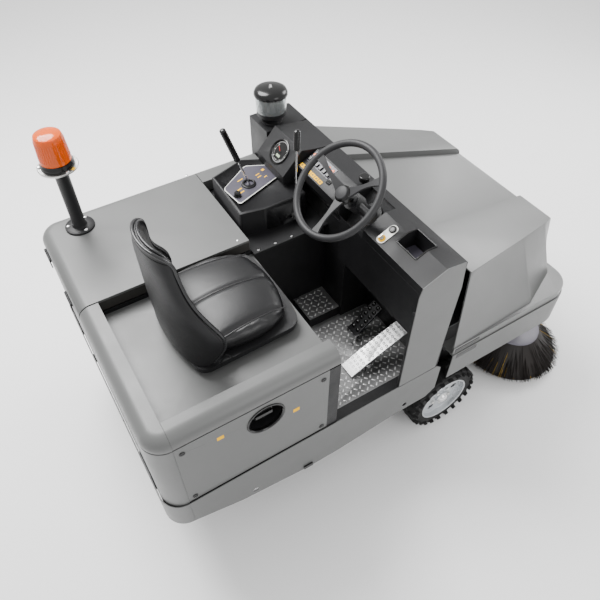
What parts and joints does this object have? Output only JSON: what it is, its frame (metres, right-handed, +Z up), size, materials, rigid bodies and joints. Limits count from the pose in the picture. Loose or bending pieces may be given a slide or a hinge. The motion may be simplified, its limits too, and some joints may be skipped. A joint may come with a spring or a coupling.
{
  "type": "ride-on floor sweeper",
  "caption": "Ride-on floor sweeper with high-back seat, steering wheel, front dust hopper under a sloping hood, disc side brush, cylindrical main brush and amber beacon.",
  "frame": {"origin": "on the ground below the centre of the whole footprint, side brush included", "axes": "+X forward, +Y to the driver's left, +Z up"},
  "size_m": [2.3248, 1.3551, 1.4899],
  "materials": {
    "frame_black": "black paint, satin",
    "body_grey": "grey enamel, satin",
    "hood_grey": "grey moulding, soft gloss",
    "panel_black": "black powder coat, matt",
    "moulded_black": "black grained moulding",
    "tread_steel": "bright chequer plate",
    "dark_metal": "dark casting",
    "tank": "black tank",
    "clear": "clear bowl under a black cap",
    "amber": "amber lens",
    "mast": "black tube with zinc flanges",
    "wheel_grip": "soft dark grip",
    "lever": "bright rod with black grip",
    "pedal_metal": "perforated bright metal",
    "pedal_rubber": "black rubber",
    "key": "bright key",
    "button": "black button",
    "vinyl": "black vinyl",
    "tyre": "black rubber",
    "rim": "silver paint",
    "bristle": "dark bristle",
    "hub_grey": "grey moulding"
  },
  "bodies": {
    "chassis": {"frame": "frame_black", "front_carriers": "frame_black", "skirt_right": "body_grey", "skirt_left": "body_grey", "rear_bumper": "body_grey", "rear_panel": "body_grey", "side_panel_right": "body_grey", "side_panel_left": "body_grey", "bay_walls": "panel_black", "seat_deck": "body_grey", "deck_rail_side": "body_grey", "deck_rail_rear": "body_grey", "sill": "panel_black", "engine": "dark_metal", "fuel_tank": "tank", "floor_plate": "tread_steel", "footwell_side_wall": "panel_black", "firewall": "panel_black", "column_tower": "panel_black", "dash_console": "moulded_black", "dash_end_plate": "body_grey", "instrument_box": "panel_black", "air_cleaner": "clear", "left_deck": "body_grey", "lever_console": "moulded_black", "gauge_pod": "moulded_black", "steering_column": "moulded_black"},
    "engine_cover": {"engine_cover": "body_grey", "beacon_mast": "mast", "beacon_lens": "amber"},
    "steering_wheel": {"steering_wheel": "wheel_grip"},
    "rear_fork": {"rear_fork": "frame_black"},
    "rear_wheel": {"rear_wheel": "tyre"},
    "gate_lever": {"gate_lever": "lever"},
    "selector_lever": {"selector_lever": "lever"},
    "drive_pedal": {"drive_pedal": "pedal_metal"},
    "brake_pedal": {"brake_pedal": "pedal_rubber"},
    "ignition_key": {"ignition_key": "key"},
    "horn_button": {"horn_button": "button"},
    "rocker_switch": {"rocker_switch": "button"},
    "dash_knob": {"dash_knob": "button"},
    "fuel_cap": {"fuel_cap": "tank"},
    "seat": {"seat_pan": "moulded_black", "seat_cushion": "vinyl", "seat_back": "vinyl"},
    "front_wheel_right": {"front_tyre_right": "tyre", "front_rim_right": "rim"},
    "front_wheel_left": {"front_tyre_left": "tyre", "front_rim_left": "rim"},
    "main_brush_arms": {"main_brush_arms": "frame_black"},
    "main_brush": {"main_brush": "bristle"},
    "side_brush_arm": {"side_brush_arm": "frame_black"},
    "side_brush": {"side_brush_hub": "hub_grey", "side_brush_bristles": "bristle"},
    "lift_arms": {"lift_arms": "frame_black"},
    "hopper": {"hopper_bin": "frame_black", "hopper_band": "body_grey", "filter_box": "moulded_black"},
    "hopper_flap": {"hopper_flap": "frame_black"},
    "hood": {"hood": "hood_grey"}
  },
  "joints": [
    {"name": "engine_cover_hinge", "type": "hinge", "parent": "chassis", "child": "engine_cover", "pos_m": [-1.15845, 0.38657, 0.982], "axis": [0, -1, 0], "range_deg": [0, 60]},
    {"name": "steering", "type": "hinge", "parent": "chassis", "child": "steering_wheel", "pos_m": [-0.17745, -0.12543, 1.354], "axis": [-0.6691, 0, 0.7431], "range_deg": [-450, 450]},
    {"name": "fork_swivel", "type": "hinge", "parent": "chassis", "child": "rear_fork", "pos_m": [-0.89245, 0.05657, 0.45], "axis": [0, 0, 1], "range_deg": [-70, 70]},
    {"name": "rear_wheel_spin", "type": "hinge", "parent": "rear_fork", "child": "rear_wheel", "pos_m": [-0.89245, 0.05657, 0.19], "axis": [0, 1, 0], "continuous": true},
    {"name": "gate_lever_tilt", "type": "hinge", "parent": "chassis", "child": "gate_lever", "pos_m": [-0.27745, 0.37157, 1.06], "axis": [0, 1, 0], "range_deg": [-10, 10]},
    {"name": "selector_lever_tilt", "type": "hinge", "parent": "chassis", "child": "selector_lever", "pos_m": [-0.18245, 0.17157, 1.02], "axis": [0, 1, 0], "range_deg": [-15, 15]},
    {"name": "drive_pedal_rock", "type": "hinge", "parent": "chassis", "child": "drive_pedal", "pos_m": [-0.14245, -0.34443, 0.54], "axis": [0, 1, 0], "range_deg": [-6, 12], "stiffness_Nm_per_rad": 20},
    {"name": "brake_pedal_press", "type": "hinge", "parent": "chassis", "child": "brake_pedal", "pos_m": [-0.08245, -0.18243, 0.528], "axis": [0, 1, 0], "range_deg": [0, 12], "stiffness_Nm_per_rad": 15, "springref_deg": -5.73},
    {"name": "ignition_turn", "type": "hinge", "parent": "chassis", "child": "ignition_key", "pos_m": [-0.08253, -0.29143, 1.20019], "axis": [-0.3917, 0, 0.9201], "range_deg": [0, 90]},
    {"name": "horn_press", "type": "slide", "parent": "chassis", "child": "horn_button", "axis": [0.3917, 0, -0.9201], "range_m": [0, 0.001], "stiffness_N_per_m": 400, "springref_m": -0.002},
    {"name": "rocker_tilt", "type": "hinge", "parent": "chassis", "child": "rocker_switch", "pos_m": [-0.06044, 0.08657, 1.20959], "axis": [0, 1, 0], "range_deg": [-8, 8]},
    {"name": "knob_pull", "type": "slide", "parent": "chassis", "child": "dash_knob", "axis": [0, 0, 1], "range_m": [0, 0.02]},
    {"name": "fuel_cap_turn", "type": "hinge", "parent": "chassis", "child": "fuel_cap", "pos_m": [-0.73945, -0.51843, 0.888], "axis": [0, 1, 0], "range_deg": [0, 90]},
    {"name": "seat_slide", "type": "slide", "parent": "chassis", "child": "seat", "axis": [1, 0, 0], "range_m": [-0.06, 0.06]},
    {"name": "front_wheel_spin_right", "type": "hinge", "parent": "chassis", "child": "front_wheel_right", "pos_m": [0.22755, -0.50343, 0.19], "axis": [0, 1, 0], "continuous": true},
    {"name": "front_wheel_spin_left", "type": "hinge", "parent": "chassis", "child": "front_wheel_left", "pos_m": [0.22755, 0.61657, 0.19], "axis": [0, 1, 0], "continuous": true},
    {"name": "main_brush_lift", "type": "hinge", "parent": "chassis", "child": "main_brush_arms", "pos_m": [-0.51245, 0.05657, 0.33], "axis": [0, -1, 0], "range_deg": [0, 8]},
    {"name": "main_brush_spin", "type": "hinge", "parent": "main_brush_arms", "child": "main_brush", "pos_m": [-0.18245, 0.05657, 0.175], "axis": [0, 1, 0], "continuous": true},
    {"name": "side_brush_lift", "type": "hinge", "parent": "chassis", "child": "side_brush_arm", "pos_m": [0.33755, -0.42343, 0.3], "axis": [0, -1, 0], "range_deg": [0, 10]},
    {"name": "side_brush_spin", "type": "hinge", "parent": "side_brush_arm", "child": "side_brush", "pos_m": [0.87255, -0.38343, 0.176], "axis": [0.0747, -0.0448, 0.9962], "continuous": true},
    {"name": "hopper_lift", "type": "hinge", "parent": "chassis", "child": "lift_arms", "pos_m": [0.13255, 0.05657, 0.96], "axis": [0, -1, 0], "range_deg": [0, 105]},
    {"name": "hopper_level", "type": "hinge", "parent": "lift_arms", "child": "hopper", "pos_m": [0.49025, 0.05657, 0.38757], "axis": [0, -1, 0], "range_deg": [-105, 0]},
    {"name": "hopper_flap_swing", "type": "hinge", "parent": "hopper", "child": "hopper_flap", "pos_m": [0.12155, 0.05657, 0.352], "axis": [0, 1, 0], "range_deg": [0, 85]},
    {"name": "hood_hinge", "type": "hinge", "parent": "hopper", "child": "hood", "pos_m": [0.92155, 0.05657, 0.598], "axis": [0, 1, 0], "range_deg": [0, 75]}
  ],
  "couplings": [
    {"joint": "fork_swivel", "follows": "steering", "ratio": -0.15556},
    {"joint": "hopper_level", "follows": "hopper_lift", "ratio": -1}
  ]
}
